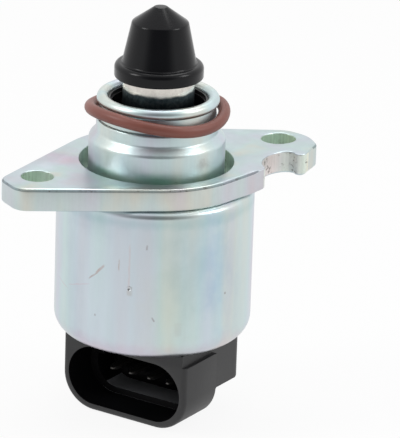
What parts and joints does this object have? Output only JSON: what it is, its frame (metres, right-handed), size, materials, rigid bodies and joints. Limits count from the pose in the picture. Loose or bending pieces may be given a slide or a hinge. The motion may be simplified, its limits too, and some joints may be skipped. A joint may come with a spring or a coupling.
{
  "type": "idle air control valve",
  "caption": "Linear stepper idle air valve: drawn steel can with keyed connector, notched two-ear flange, stepped nose with O-ring and a conical pintle on a threaded rotor",
  "frame": {"origin": "on the valve's axis, in the plane of the flange's face that seats on the manifold", "axes": "+Z runs along the valve's axis towards the pintle; -Y is the way the mouth of the connector faces; +X completes the right-handed frame. The line of the screw holes lies 63 degrees from +X towards +Y"},
  "size_m": [0.0369, 0.0557, 0.0748],
  "materials": {
    "zinc_plate": "blue-white zinc plating with a faint iridescence",
    "red_rubber": "satin red-brown",
    "black_plastic": "satin",
    "glossy_black": "glossy moulded",
    "bright_metal": "bright drawn",
    "steel": "ground",
    "brass": "turned",
    "bronze": "sintered",
    "magnet": "matte bonded magnet",
    "natural_plastic": "natural",
    "soft_iron": "pressed",
    "enamelled_copper": "enamelled wire",
    "tin": "tin plated",
    "grey_plastic": "fine moulded texture"
  },
  "bodies": {
    "housing": {"mounting_flange": "zinc_plate", "motor_can": "zinc_plate", "nose_housing": "zinc_plate", "o_ring": "red_rubber", "nose_guide": "black_plastic", "key_plate": "steel", "front_end_plate": "steel", "bearing_outer_ring": "steel", "thrust_washer": "steel", "rear_bush": "bronze", "rear_end_plate": "natural_plastic", "stator_cup_front": "soft_iron", "stator_plate_front": "soft_iron", "stator_plate_rear": "soft_iron", "stator_cup_rear": "soft_iron", "bobbin_front": "natural_plastic", "bobbin_rear": "natural_plastic", "winding_front": "enamelled_copper", "winding_rear": "enamelled_copper", "terminal_1": "tin", "terminal_2": "tin", "terminal_3": "tin", "terminal_4": "tin", "connector_body": "grey_plastic"},
    "pintle_shaft": {"pintle": "glossy_black", "pintle_sleeve": "bright_metal", "lead_screw": "steel", "pintle_spring": "steel"},
    "rotor": {"rotor_magnet": "magnet", "rotor_hub": "natural_plastic", "drive_nut": "brass", "bearing_inner_ring": "steel"},
    "ball_cage": {"bearing_balls": "steel", "bearing_cage": "brass"}
  },
  "joints": [
    {"name": "rotor_spin", "type": "hinge", "parent": "housing", "child": "rotor", "pos_m": [0, 0, -0.0186], "axis": [0, 0, 1], "range_deg": [-360, 2880]},
    {"name": "pintle_slide", "type": "slide", "parent": "housing", "child": "pintle_shaft", "axis": [0, 0, 1], "range_m": [-0.008, 0.001], "deforming": ["pintle_spring"]},
    {"name": "cage_spin", "type": "hinge", "parent": "housing", "child": "ball_cage", "pos_m": [0, 0, -0.00785], "axis": [0, 0, 1], "range_deg": [-141, 1124]}
  ],
  "couplings": [
    {"joint": "pintle_slide", "follows": "rotor_spin", "m_per_rad": -0.00015915},
    {"joint": "cage_spin", "follows": "rotor_spin", "ratio": 0.39}
  ]
}
